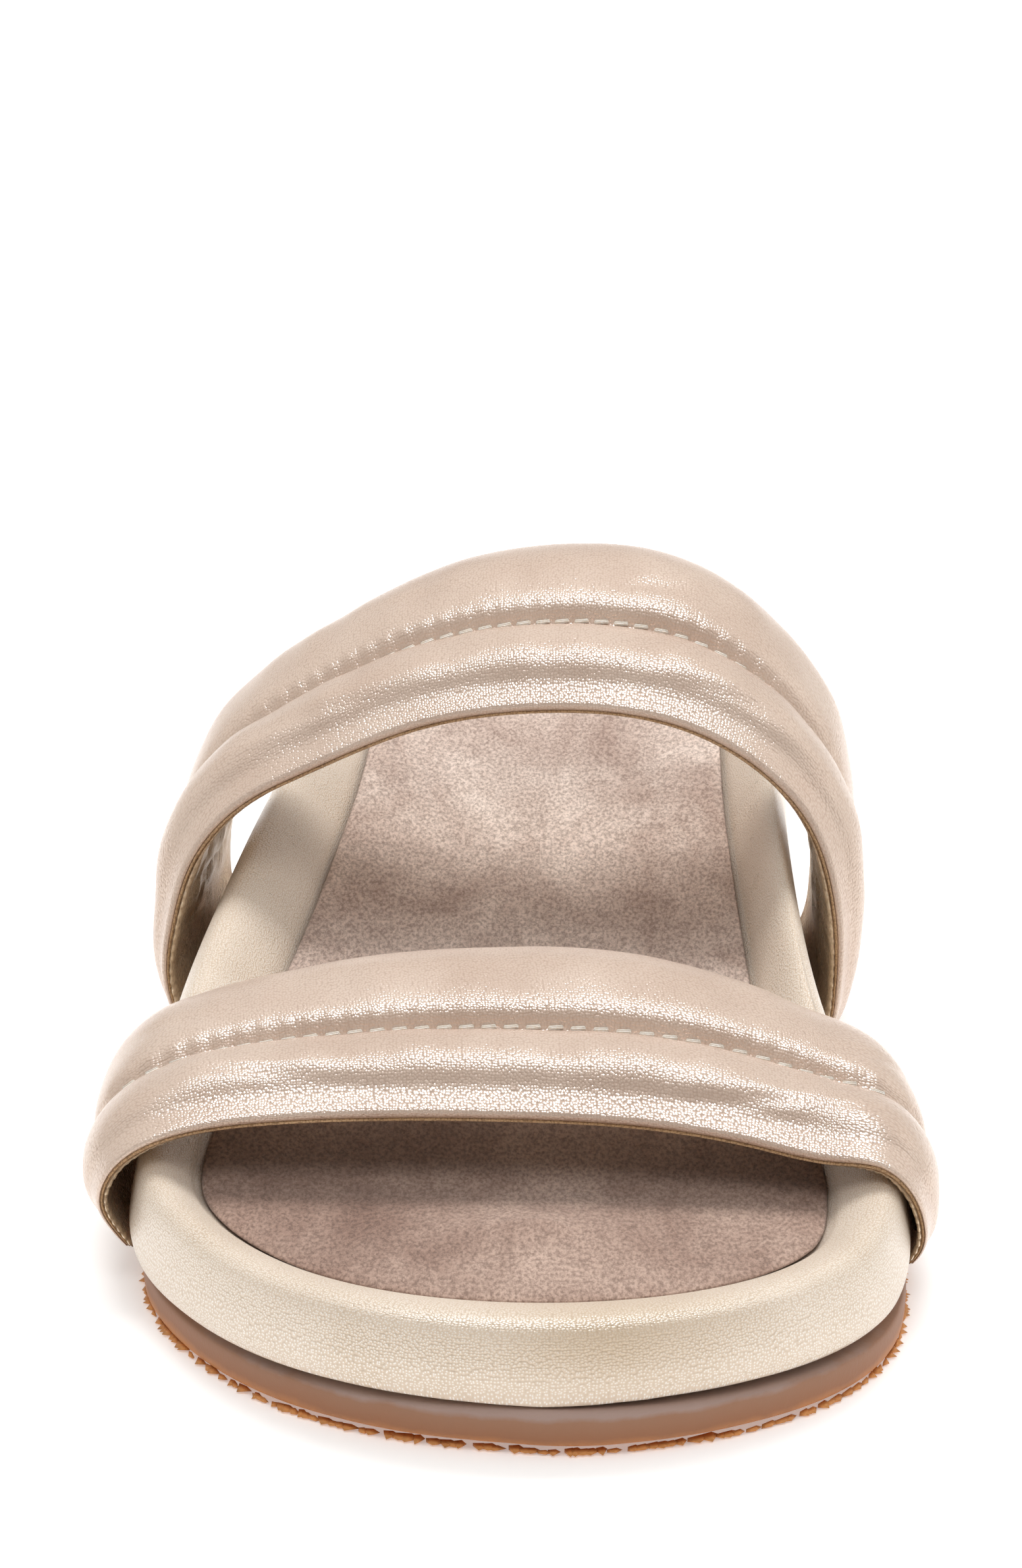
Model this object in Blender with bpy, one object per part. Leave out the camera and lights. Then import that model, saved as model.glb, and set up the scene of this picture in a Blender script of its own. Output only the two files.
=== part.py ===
"""Right-foot slide sandal: two padded straps over a wrapped footbed on a rubber outsole.

Metres, Z up. The toe points to -Y and the big-toe side is +X. The origin is on the floor,
under the middle of the sole's length.
"""

from collections import namedtuple

import bmesh
import bpy
import numpy as np

# Sole: length over the tips, and width across the ball.
LENGTH = 0.258
BALL_WIDTH = 0.0975
TOE_ROUND = 0.054
HEEL_ROUND = 0.038

# Outsole: a flat rubber sheet that lifts a little under the toes.
OUTSOLE_THICKNESS = 0.005
OUTSOLE_SET_IN_LATERAL = 0.0018
OUTSOLE_SET_IN_MEDIAL = 0.0006
OUTSOLE_BEVEL = 0.0006
TOE_SPRING = 0.0015
TOE_SPRING_LENGTH = 0.050

# Footbed: heights over the outsole at the heel, and the padded rim round it.
BED_HEIGHT = 0.0147
RIM_RISE = 0.0092
RIM_WIDTH = 0.010
WALL_TUCK = 0.0012
HEEL_CUP = 0.0020
INSOLE_THICKNESS = 0.0012

# Straps: where the front edge leaves the sole on the big-toe side, measured from the toe,
# how much further back it leaves on the other side, and how far it leans back on its way up.
FRONT_STRAP_FROM_TOE = 0.0425
FRONT_STRAP_SKEW = 0.0055
FRONT_STRAP_LEAN = 0.0050
FRONT_STRAP_ARCH = 0.0182
FRONT_STRAP_CLIMB = 0.0070
REAR_STRAP_FROM_TOE = 0.1160
REAR_STRAP_SKEW = 0.0060
REAR_STRAP_LEAN = 0.0130
REAR_STRAP_ARCH = 0.0420
REAR_STRAP_CLIMB = 0.0095
STRAP_FOOT_WIDTH = 0.042
STRAP_TOP_WIDTH = 0.037
STRAP_PAD = 0.0065

# Clearance between pieces that touch.
GAP = 0.0003

# Points round half of the sole, and sections along a strap.
SIDE_STATIONS = 44
STRAP_SECTIONS = 40

# Sole seen from above, from toe to heel: share of the length, then the middle line and the
# half-width of the widest line as shares of the ball width.
OUTLINE = (
    # along, middle, half
    (0.00, 0.040, 0.530),
    (0.11, 0.033, 0.512),
    (0.18, 0.013, 0.505),
    (0.25, 0.008, 0.500),
    (0.32, -0.008, 0.472),
    (0.38, -0.018, 0.451),
    (0.45, -0.018, 0.431),
    (0.52, -0.009, 0.413),
    (0.61, 0.007, 0.393),
    (0.70, 0.026, 0.373),
    (0.80, 0.044, 0.359),
    (0.90, 0.054, 0.352),
    (1.00, 0.054, 0.352),
)

# Footbed from toe to heel: share of the length, the insole's edge as a share of BED_HEIGHT,
# the rim over it as shares of RIM_RISE, and the rim's width as shares of RIM_WIDTH.
FOOTBED = (
    # along, bed, rise_lateral, rise_medial, rim_lateral, rim_medial
    (0.00, 0.67, 0.17, 0.17, 1.10, 1.10),
    (0.11, 0.65, 0.23, 0.24, 0.90, 0.96),
    (0.21, 0.64, 0.36, 0.37, 0.85, 1.00),
    (0.33, 0.68, 0.52, 0.45, 1.02, 0.96),
    (0.43, 0.77, 0.64, 0.88, 1.26, 0.82),
    (0.53, 0.88, 0.62, 1.00, 1.34, 0.80),
    (0.65, 0.96, 0.54, 0.77, 1.26, 0.86),
    (0.80, 0.99, 0.48, 0.55, 1.06, 0.90),
    (1.00, 1.00, 0.50, 0.50, 0.95, 0.95),
)

# Outer wall of the footbed, from the outsole up to the height of the insole's edge.
WALL = (
    # share of the wall's height, set_in as a share of WALL_TUCK
    (0.00, 1.00),
    (0.14, 0.52),
    (0.31, 0.04),
    (0.57, 0.25),
    (0.85, 0.70),
)

# Rim of the footbed, from the wall over its crest and down to the insole's edge.
RIM = (
    # share of the rim's rise, set_in as a share of its width
    (0.30, 0.14),
    (0.72, 0.21),
    (0.97, 0.32),
    (1.00, 0.42),
    (0.86, 0.59),
    (0.45, 0.80),
    (0.00, 1.00),
)

# Straps from the little-toe side over to the big-toe side. The front edge's place is a share of
# the sole's half-width, of the strap's arch and of its lean. The rear edge stands higher by a
# share of the strap's climb, and the padding is a share of the full pad.
FRONT_STRAP = (
    # across, height, lean, climb, pad
    (-1.000, 0.00, 0.95, 0.00, 0.27),
    (-1.030, 0.23, 0.55, 0.02, 0.31),
    (-1.052, 0.41, 0.22, 0.05, 0.38),
    (-1.036, 0.59, 0.09, 0.10, 0.47),
    (-0.994, 0.72, 0.10, 0.15, 0.60),
    (-0.932, 0.81, 0.20, 0.22, 0.72),
    (-0.828, 0.88, 0.40, 0.28, 0.85),
    (-0.660, 0.925, 0.65, 0.43, 0.95),
    (-0.330, 0.956, 0.90, 0.80, 1.00),
    (0.000, 0.956, 1.00, 1.00, 1.00),
    (0.300, 0.930, 0.95, 1.04, 1.00),
    (0.600, 0.835, 0.65, 0.84, 0.98),
    (0.795, 0.765, 0.35, 0.56, 0.88),
    (0.926, 0.74, 0.10, 0.31, 0.67),
    (0.988, 0.57, 0.08, 0.15, 0.50),
    (1.012, 0.36, 0.28, 0.03, 0.37),
    (1.010, 0.17, 0.62, 0.00, 0.30),
    (1.000, 0.00, 0.95, 0.00, 0.26),
)
REAR_STRAP = (
    # across, height, lean, climb, pad
    (-1.000, 0.00, 0.00, 0.00, 0.36),
    (-1.035, 0.09, 0.09, 0.05, 0.46),
    (-1.064, 0.20, 0.20, 0.12, 0.58),
    (-1.052, 0.34, 0.34, 0.24, 0.70),
    (-1.008, 0.50, 0.50, 0.38, 0.82),
    (-0.885, 0.66, 0.66, 0.50, 0.92),
    (-0.650, 0.79, 0.79, 0.62, 0.98),
    (-0.300, 0.93, 0.93, 0.84, 1.00),
    (0.150, 1.00, 1.00, 1.00, 1.00),
    (0.560, 0.965, 0.96, 1.00, 1.00),
    (0.850, 0.82, 0.82, 0.85, 0.96),
    (0.990, 0.66, 0.66, 0.70, 0.90),
    (1.048, 0.48, 0.48, 0.50, 0.82),
    (1.062, 0.32, 0.32, 0.30, 0.72),
    (1.052, 0.18, 0.18, 0.16, 0.60),
    (1.030, 0.08, 0.08, 0.06, 0.48),
    (1.000, 0.00, 0.00, 0.00, 0.38),
)

# Padding from a strap's front edge to its rear edge: lip, front roll, stitched channel, rear roll.
PADDING = (
    # across the width, thickness as a share of the pad
    (0.000, 0.16),
    (0.014, 0.36),
    (0.055, 0.47),
    (0.095, 0.50),
    (0.150, 0.83),
    (0.240, 1.00),
    (0.330, 0.93),
    (0.402, 0.68),
    (0.450, 0.46),
    (0.500, 0.69),
    (0.600, 0.95),
    (0.725, 1.00),
    (0.860, 0.84),
    (0.955, 0.52),
    (1.000, 0.22),
)

# Finish of each piece: linear colour, roughness, metallic.
RUBBER = ((0.305, 0.181, 0.127), 0.55, 0.0)
WRAP_LEATHER = ((0.672, 0.565, 0.429), 0.45, 0.25)
SUEDE = ((0.515, 0.413, 0.361), 0.95, 0.0)
STRAP_LEATHER = ((0.552, 0.413, 0.328), 0.38, 0.45)

Sole = namedtuple("Sole", "from_toe side edge inward spine")


def smooth(knots, rows, places):
    """Natural cubic curve through rows of values, read at the given places."""
    knots, rows = np.array(knots, float), np.array(rows, float)
    steps = np.diff(knots)
    rates = np.diff(rows, axis=0) / steps[:, None]
    system = np.eye(len(knots))
    bends = np.zeros_like(rows)
    for row in range(1, len(knots) - 1):
        before, after = steps[row - 1], steps[row]
        system[row, row - 1 : row + 2] = before, 2 * (before + after), after
        bends[row] = 6 * (rates[row] - rates[row - 1])
    bends = np.linalg.solve(system, bends)
    span = np.clip(np.searchsorted(knots, places) - 1, 0, len(steps) - 1)
    step = steps[span][:, None]
    done = (np.array(places) - knots[span])[:, None] / step
    left = 1 - done
    straight = left * rows[span] + done * rows[span + 1]
    curved = (left**3 - left) * bends[span] + (done**3 - done) * bends[span + 1]
    return straight + curved * step**2 / 6


def columns(table, from_toe):
    """Columns of a toe-to-heel table at distances from the toe."""
    rows = np.array(table)
    return smooth(rows[:, 0], rows[:, 1:], np.clip(from_toe / LENGTH, 0, 1)).T


def sides(from_toe):
    """Middle line and half-width of the sole's widest line, at distances from the toe."""
    middle, half = columns(OUTLINE, from_toe) * BALL_WIDTH
    toe = np.clip(1 - from_toe / TOE_ROUND, 0, 1)
    heel = np.clip(1 - (LENGTH - from_toe) / HEEL_ROUND, 0, 1)
    return middle, half * np.sqrt((1 - toe**2) * (1 - heel**2))


def edge_at(turn):
    """Point of the widest line at a turn of 0 at the toe, half a circle at the heel."""
    from_toe = LENGTH * (1 - np.cos(turn)) / 2
    middle, half = sides(from_toe)
    return np.column_stack([middle - np.sign(np.sin(turn)) * half, from_toe - LENGTH / 2])


def sole_stations():
    """Points round the sole, with their side, inward direction and place on the spine."""
    turn = np.linspace(0, 2 * np.pi, 2 * SIDE_STATIONS, endpoint=False)
    from_toe = LENGTH * (1 - np.cos(turn)) / 2
    side = -np.sign(np.round(np.sin(turn), 9))
    nudge = 1e-4
    travel = edge_at(turn + nudge) - edge_at(turn - nudge)
    travel /= np.linalg.norm(travel, axis=1)[:, None]
    inward = np.column_stack([travel[:, 1], -travel[:, 0]])
    spine_from_toe = np.clip(from_toe, TOE_ROUND, LENGTH - HEEL_ROUND)
    spine = np.column_stack([sides(spine_from_toe)[0], spine_from_toe - LENGTH / 2])
    return Sole(from_toe, side, edge_at(turn), inward, spine)


def floor_height(from_toe):
    """Height of the outsole's underside, which is flat and then lifts under the toes."""
    return TOE_SPRING * np.clip(1 - from_toe / TOE_SPRING_LENGTH, 0, 1) ** 2


def by_side(sole, lateral, medial):
    """Lateral values on the little-toe side, medial ones on the other, their mean at the tips."""
    return (lateral * (1 - sole.side) + medial * (1 + sole.side)) / 2


def ring(sole, set_in, height):
    """Closed line of points, set in from the widest line and raised over the outsole's underside."""
    points = sole.edge + sole.inward * np.broadcast_to(set_in, len(sole.edge))[:, None]
    return np.column_stack([points, floor_height(sole.from_toe) + height])


def towards_spine(sole, points, share, drop):
    """Copy of a ring drawn in towards the spine and lowered."""
    inner = points.copy()
    inner[:, :2] += (sole.spine - inner[:, :2]) * share
    inner[:, 2] -= drop
    return inner


def ladder(start, count):
    """Faces that fill a ring by joining its two sides rung by rung."""
    half = count // 2
    faces = [(start, start + 1, start + count - 1)]
    for rung in range(1, half - 1):
        across = count - rung
        faces.append((start + rung, start + rung + 1, start + across - 1, start + across))
    faces.append((start + half - 1, start + half, start + half + 1))
    return faces


def lofted(name, rings, finish, collection, parent):
    """Closed solid through rings of equal counts, with both ends filled."""
    count = len(rings[0])
    mesh = bmesh.new()
    points = [mesh.verts.new(point) for point in np.concatenate(rings)]
    faces = ladder(0, count) + ladder(len(points) - count, count)
    for level in range(0, len(points) - count, count):
        for place in range(count):
            after = (place + 1) % count
            faces.append((level + place, level + after, level + count + after, level + count + place))
    for face in faces:
        mesh.faces.new([points[index] for index in face])
    bmesh.ops.recalc_face_normals(mesh, faces=mesh.faces)
    data = bpy.data.meshes.new(name)
    mesh.to_mesh(data)
    mesh.free()
    data.shade_smooth()
    data.set_sharp_from_angle(angle=np.radians(50))
    data.materials.append(new_material(name, *finish))
    piece = bpy.data.objects.new(name, data)
    piece.parent = parent
    collection.objects.link(piece)
    return piece


def new_material(name, colour, roughness, metallic):
    """Principled material of one piece."""
    material = bpy.data.materials.new(name)
    material.use_nodes = True
    shader = material.node_tree.nodes["Principled BSDF"]
    shader.inputs["Base Color"].default_value = (*colour, 1)
    shader.inputs["Roughness"].default_value = roughness
    shader.inputs["Metallic"].default_value = metallic
    return material


def outsole_rings(sole):
    """Underside, side wall and top of the rubber outsole."""
    set_in = by_side(sole, OUTSOLE_SET_IN_LATERAL, OUTSOLE_SET_IN_MEDIAL)
    return [
        ring(sole, set_in + OUTSOLE_BEVEL, 0),
        ring(sole, set_in, OUTSOLE_BEVEL),
        ring(sole, set_in, OUTSOLE_THICKNESS - OUTSOLE_BEVEL / 2),
        ring(sole, set_in + OUTSOLE_BEVEL / 2, OUTSOLE_THICKNESS),
    ]


def footbed_sizes(sole):
    """Height of the insole's edge, rise of the rim over it and width of the rim, at each station."""
    bed, rise_lateral, rise_medial, rim_lateral, rim_medial = columns(FOOTBED, sole.from_toe)
    edge = OUTSOLE_THICKNESS + bed * BED_HEIGHT
    rise = by_side(sole, rise_lateral, rise_medial) * RIM_RISE
    return edge, rise, by_side(sole, rim_lateral, rim_medial) * RIM_WIDTH


def cup_depth(sole):
    """How far the middle of the footbed lies below its edge, deepest under the heel."""
    return HEEL_CUP * (0.3 + 0.7 * sole.from_toe / LENGTH)


def recess_rings(sole, set_in, edge_height):
    """Edge and dished middle of a surface that lies in the footbed's recess."""
    outer = ring(sole, set_in, edge_height)
    return [
        outer,
        towards_spine(sole, outer, 0.30, cup_depth(sole) * 0.7),
        towards_spine(sole, outer, 0.62, cup_depth(sole)),
    ]


def midsole_rings(sole):
    """Wrapped footbed: bottom, bulging wall, rounded rim, inner slope and the insole's recess."""
    edge, rise, rim = footbed_sizes(sole)
    bottom = OUTSOLE_THICKNESS + GAP
    rings = [ring(sole, tuck * WALL_TUCK, bottom + share * (edge - bottom)) for share, tuck in WALL]
    rings += [ring(sole, share_in * rim, edge + share * rise) for share, share_in in RIM]
    return rings + recess_rings(sole, rim, edge - INSOLE_THICKNESS - GAP)


def insole_rings(sole):
    """Suede sheet in the recess, its top level with the foot of the rim's inner slope."""
    edge, _, rim = footbed_sizes(sole)
    under = recess_rings(sole, rim + GAP, edge - INSOLE_THICKNESS)
    over = recess_rings(sole, rim + GAP, edge)
    return under[::-1] + over


def strap_rings(table, from_toe, skew, lean, arch, climb):
    """Sections of a padded strap from its little-toe end over to its big-toe end.

    Each section runs along the lining from the front edge to the rear one and back over the
    padding. The strap follows the sole's outline, so its ends lie along the footbed's wall.
    """
    rows = np.array(table)
    seats = np.zeros(len(rows))
    seats[[0, -1]] = 1
    shape = rows[:, :2] * (BALL_WIDTH / 2, arch)
    reach = np.concatenate([[0], np.cumsum(np.linalg.norm(np.diff(shape, axis=0), axis=1))])
    places = np.linspace(0, reach[-1], STRAP_SECTIONS)
    sections = smooth(reach, np.column_stack([rows, seats]), places)
    across, height, lean_share, climb_share, pad, seat = sections.T[:, :, None]
    width_share, thickness = np.array(PADDING).T
    front = from_toe + skew * (1 - across) / 2 + lean * lean_share
    width = STRAP_FOOT_WIDTH + (STRAP_TOP_WIDTH - STRAP_FOOT_WIDTH) * height
    back = front + width * width_share
    middle, half = (values.reshape(back.shape) for values in sides(back.ravel()))
    seating = np.sign(across) * seat * (GAP - WALL_TUCK)
    foot = OUTSOLE_THICKNESS + GAP + floor_height(back)
    lining = np.stack(
        [
            middle + across * half + seating,
            back - LENGTH / 2,
            foot + height * arch + climb_share * climb * width_share,
        ],
        axis=-1,
    )
    along = np.gradient(lining, axis=0)
    outward = np.cross(along, np.gradient(lining, axis=1))
    outward[..., 2] *= 1 - seat
    outward /= np.linalg.norm(outward, axis=2)[..., None]
    padding = lining + outward * (thickness * pad * STRAP_PAD)[..., None]
    return [np.concatenate([inner, outer[::-1]]) for inner, outer in zip(lining, padding)]


def clear_scene():
    """Remove every object that is already there."""
    for thing in list(bpy.data.objects):
        bpy.data.objects.remove(thing)


def main():
    clear_scene()
    collection = bpy.data.collections.new("slide_sandal")
    bpy.context.scene.collection.children.link(collection)
    stand = bpy.data.objects.new("slide_sandal", None)
    collection.objects.link(stand)
    sole = sole_stations()
    front = strap_rings(
        FRONT_STRAP,
        FRONT_STRAP_FROM_TOE,
        FRONT_STRAP_SKEW,
        FRONT_STRAP_LEAN,
        FRONT_STRAP_ARCH,
        FRONT_STRAP_CLIMB,
    )
    rear = strap_rings(
        REAR_STRAP,
        REAR_STRAP_FROM_TOE,
        REAR_STRAP_SKEW,
        REAR_STRAP_LEAN,
        REAR_STRAP_ARCH,
        REAR_STRAP_CLIMB,
    )
    pieces = (
        ("outsole", outsole_rings(sole), RUBBER),
        ("midsole", midsole_rings(sole), WRAP_LEATHER),
        ("insole", insole_rings(sole), SUEDE),
        ("front_strap", front, STRAP_LEATHER),
        ("rear_strap", rear, STRAP_LEATHER),
    )
    for name, rings, finish in pieces:
        lofted(name, rings, finish, collection, stand)


main()
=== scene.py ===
# %% [markdown]
# A padded slide sandal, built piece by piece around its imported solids.
#
# The sandal is the right shoe of a pair. A foam footbed is wrapped in champagne leather, a
# suede insole lies in it, a rubber outsole is glued under it, and two padded straps of
# rose-gold leather arch over it. The solids give the true shape. This lesson dresses them:
# each cell makes one piece or one finish, and says what it is on the real sandal, how it
# could be made, and why this way was chosen.

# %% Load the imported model
import math

import bpy
import numpy as np
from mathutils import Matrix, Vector, kdtree


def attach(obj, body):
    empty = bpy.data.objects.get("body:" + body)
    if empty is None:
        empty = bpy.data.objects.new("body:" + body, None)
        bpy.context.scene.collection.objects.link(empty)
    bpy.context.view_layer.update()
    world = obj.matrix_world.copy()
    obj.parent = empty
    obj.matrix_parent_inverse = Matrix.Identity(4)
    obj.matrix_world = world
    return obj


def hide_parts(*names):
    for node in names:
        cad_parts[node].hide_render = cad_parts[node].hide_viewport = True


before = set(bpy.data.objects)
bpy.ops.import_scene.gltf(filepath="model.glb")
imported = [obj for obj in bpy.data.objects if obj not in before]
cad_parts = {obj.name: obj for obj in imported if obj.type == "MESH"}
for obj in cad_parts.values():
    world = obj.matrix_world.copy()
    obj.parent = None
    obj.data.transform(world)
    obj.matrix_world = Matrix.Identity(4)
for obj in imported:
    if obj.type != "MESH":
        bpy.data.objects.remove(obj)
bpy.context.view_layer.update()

MM = 0.001
print("solids:", ", ".join(sorted(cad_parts)))

# %% [markdown]
# Small helpers come first. An operator works on all that is selected, and loading leaves the
# solids selected, so every step starts from a clean selection with one active object. Points
# could be moved one by one in a loop, but reading and writing them as one array is far quicker
# on the fine grids that the straps need.


# %% Selection helpers
def only(piece):
    """Makes one object the selected and active one, in object mode."""
    bpy.ops.object.select_all(action="DESELECT")
    piece.select_set(True)
    bpy.context.view_layer.objects.active = piece


def in_edit_mode(piece, *steps):
    """Runs edit mode steps on the whole mesh of a piece."""
    only(piece)
    bpy.ops.object.mode_set(mode="EDIT")
    for step in steps:
        bpy.ops.mesh.select_all(action="SELECT")
        step()
    bpy.ops.object.mode_set(mode="OBJECT")


def apply_modifier(piece, kind, **settings):
    """Adds a modifier with its settings and applies it."""
    only(piece)
    modifier = piece.modifiers.new(kind.title(), kind)
    for name, value in settings.items():
        setattr(modifier, name, value)
    bpy.ops.object.modifier_apply(modifier=modifier.name)


def points_of(piece):
    """Vertices of a piece as an array."""
    points = np.empty(len(piece.data.vertices) * 3)
    piece.data.vertices.foreach_get("co", points)
    return points.reshape(-1, 3)


def move_points(piece, points):
    """Puts the vertices of a piece at new places."""
    piece.data.vertices.foreach_set("co", np.asarray(points, float).ravel())
    piece.data.update()


def report(piece):
    """Prints the size of a piece in millimetres and its number of faces."""
    size = np.ptp(points_of(piece), axis=0) / MM
    print(f"{piece.name}: {size[0]:.1f} x {size[1]:.1f} x {size[2]:.1f} mm,", end=" ")
    print(len(piece.data.polygons), "faces")


# %% [markdown]
# The camera stands where the photograph was taken from: about a metre in front of the toe,
# looking down by about twenty degrees. A short lens close by would frame the sandal as well,
# but it would make the toe look far bigger than the heel, so the lens is a long one.

# %% Camera
CAMERA_PLACE = (0.0, -1.0073, 0.4152)
CAMERA_TARGET = (0.0, 0.02305, 0.030)
LENS_MM = 185.9
SENSOR_MM = 36
bpy.ops.object.camera_add(location=CAMERA_PLACE)
camera = bpy.context.object
camera.name = "photo_camera"
direction = Vector(CAMERA_TARGET) - Vector(CAMERA_PLACE)
camera.rotation_euler = direction.to_track_quat("-Z", "Y").to_euler()
camera.data.lens = LENS_MM
camera.data.sensor_width = SENSOR_MM
camera.data.clip_start = 0.01
bpy.context.scene.camera = camera
print(f"camera {direction.length:.3f} m from its target")

# %% [markdown]
# The sandal stands on white studio paper that runs out of the picture on all sides. A grey
# floor with a backdrop would need an even light on both, so the paper is one large plane that
# glows a little by itself. That keeps it white and its shadows faint.

# %% Floor
bpy.ops.mesh.primitive_plane_add(size=9)
floor = bpy.context.object
floor.name = "studio_floor"
paper = bpy.data.materials.new("white_paper")
paper.use_nodes = True
for socket, value in (
    ("Base Color", (0.93, 0.93, 0.93, 1)),
    ("Roughness", 0.9),
    ("Specular IOR Level", 0.1),
    ("Emission Color", (1, 1, 1, 1)),
    ("Emission Strength", 0.28),
):
    paper.node_tree.nodes["Principled BSDF"].inputs[socket].default_value = value
floor.data.materials.append(paper)
print("the floor is", floor.name)

# %% [markdown]
# A product shot like this one is lit by a soft box overhead and behind, a weak one in front,
# and a wall of light at the big-toe side. One lamp can't give both the soft shading and the
# sharp sparkle of the leather. So the two soft boxes are hidden from reflections, and a small
# bluish lamp over the toe shows only in them.

# %% Lights
SPARKLE_TINT = (0.84, 0.94, 1.06)
LIGHTS = (
    # name, place, target, width, height, watts, on surfaces, in reflections
    ("back_key", (0.00, 0.40, 0.95), (0.0, 0.00, 0.00), 0.80, 0.50, 8.0, True, False),
    ("front_fill", (0.00, -0.60, 0.80), (0.0, 0.03, 0.02), 0.60, 0.40, 2.8, True, False),
    ("side_wall", (0.95, 0.05, 0.50), (0.0, -0.02, 0.02), 1.00, 0.70, 1.0, True, True),
    ("top_strip", (0.05, -0.18, 0.85), (0.0, -0.02, 0.03), 0.30, 0.26, 4.6, False, True),
)
for name, place, target, width, height, watts, lights, shines in LIGHTS:
    bpy.ops.object.light_add(type="AREA", location=place)
    lamp = bpy.context.object
    lamp.name = name
    lamp.rotation_euler = (Vector(target) - Vector(place)).to_track_quat("-Z", "Y").to_euler()
    lamp.data.shape = "RECTANGLE"
    lamp.data.size = width
    lamp.data.size_y = height
    lamp.data.energy = watts
    lamp.visible_diffuse = lights
    lamp.visible_glossy = shines
    if shines and not lights:
        lamp.data.color = SPARKLE_TINT
    print(f"{name}: {watts} W from {Vector(place).length:.2f} m")

# %% [markdown]
# The room round the sandal fills the shadows. An even sky would brighten the sides that face
# the camera too much, because behind the camera a studio is dark. So the sky's strength rises
# from the camera's side to the back.

# %% Sky
world = bpy.data.worlds.new("studio")
bpy.context.scene.world = world
world.use_nodes = True
sky = world.node_tree.nodes["Background"]
sky.inputs["Color"].default_value = (1.0, 0.995, 0.985, 1)
towards = world.node_tree.nodes.new("ShaderNodeTexCoord")
split = world.node_tree.nodes.new("ShaderNodeSeparateXYZ")
world.node_tree.links.new(towards.outputs["Generated"], split.inputs["Vector"])
dim = world.node_tree.nodes.new("ShaderNodeMapRange")
DARK_SIDE, BRIGHT_SIDE = 0.20, 0.57
for socket, value in (
    ("From Min", -1.0),
    ("From Max", -0.1),
    ("To Min", DARK_SIDE),
    ("To Max", BRIGHT_SIDE),
):
    dim.inputs[socket].default_value = value
world.node_tree.links.new(split.outputs["Y"], dim.inputs["Value"])
world.node_tree.links.new(dim.outputs["Result"], sky.inputs["Strength"])
bpy.context.scene.view_settings.view_transform = "Standard"
print(f"sky strength {DARK_SIDE} at the camera's side, {BRIGHT_SIDE} at the back")

# %% [markdown]
# Materials are networks of nodes. Three short helpers keep the cells below readable: one links
# two sockets, one adds a node with its values, and one does a sum on sockets or numbers.


# %% Node helpers
def link(tree, source, target):
    """Links an output socket to an input socket."""
    tree.links.new(source, target)


def add_node(tree, kind, **inputs):
    """Adds a shader node and sets named inputs on it."""
    node = tree.nodes.new(kind)
    for name, value in inputs.items():
        node.inputs[name.replace("_", " ")].default_value = value
    return node


def math_node(tree, operation, first, second=None, clamp=False):
    """Math node fed by sockets or numbers."""
    node = tree.nodes.new("ShaderNodeMath")
    node.operation = operation
    node.use_clamp = clamp
    for slot, value in enumerate((first, second)):
        if value is None:
            continue
        if isinstance(value, bpy.types.NodeSocket):
            tree.links.new(value, node.inputs[slot])
        else:
            node.inputs[slot].default_value = value
    return node.outputs[0]


# %% [markdown]
# Every leather here has a grain of tiny rounded pebbles. It could be modelled, but pebbles of
# 0.4 mm would take millions of faces, so it is bump. It is a node group: built once, and
# placed in each material with its own pebble size. Cells of a Voronoi texture give the
# pebbles, and the group puts out their height, the pores between them, their tips and a slow
# mottle.


# %% Leather grain group
def new_group(name, inputs, outputs):
    """Node group with named number inputs and outputs."""
    group = bpy.data.node_groups.new(name, "ShaderNodeTree")
    for socket, value in inputs:
        made = group.interface.new_socket(socket, in_out="INPUT", socket_type="NodeSocketFloat")
        made.default_value = value
    for socket in outputs:
        group.interface.new_socket(socket, in_out="OUTPUT", socket_type="NodeSocketFloat")
    return group, group.nodes.new("NodeGroupInput"), group.nodes.new("NodeGroupOutput")


PORES_FROM = 0.42
TIPS_WITHIN = 0.30


def grain_group(name, flat):
    """Grain on an object's own UV map if flat, or through its volume."""
    grain, given, result = new_group(
        name, (("Pebble Size", 0.4), ("Mottle Size", 12.0)), ("Height", "Pores", "Tips", "Mottle")
    )
    solid = grain.nodes.new("ShaderNodeTexCoord").outputs["Object"]
    if flat:
        unrolled = grain.nodes.new("ShaderNodeUVMap")
        unrolled.uv_map = "unrolled"
    per_metre = math_node(grain, "DIVIDE", 1000.0, given.outputs["Pebble Size"])
    pebbles = add_node(grain, "ShaderNodeTexVoronoi", Randomness=0.72)
    pebbles.voronoi_dimensions = "2D" if flat else "3D"
    link(grain, unrolled.outputs["UV"] if flat else solid, pebbles.inputs["Vector"])
    link(grain, per_metre, pebbles.inputs["Scale"])
    round_top = math_node(grain, "POWER", pebbles.outputs["Distance"], 2.0)
    dome = math_node(grain, "SUBTRACT", 1.0, math_node(grain, "MULTIPLY", round_top, 1.6))
    link(grain, dome, result.inputs["Height"])
    pore = math_node(grain, "SUBTRACT", pebbles.outputs["Distance"], PORES_FROM)
    link(grain, math_node(grain, "MULTIPLY", pore, 4.0, clamp=True), result.inputs["Pores"])
    tip = math_node(grain, "SUBTRACT", TIPS_WITHIN, pebbles.outputs["Distance"])
    link(grain, math_node(grain, "MULTIPLY", tip, 6.0, clamp=True), result.inputs["Tips"])
    mottle_scale = math_node(grain, "DIVIDE", 1000.0, given.outputs["Mottle Size"])
    mottle = add_node(grain, "ShaderNodeTexNoise", Detail=4.0, Roughness=0.55)
    link(grain, solid, mottle.inputs["Vector"])
    link(grain, mottle_scale, mottle.inputs["Scale"])
    link(grain, mottle.outputs["Fac"], result.inputs["Mottle"])
    return grain


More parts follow.
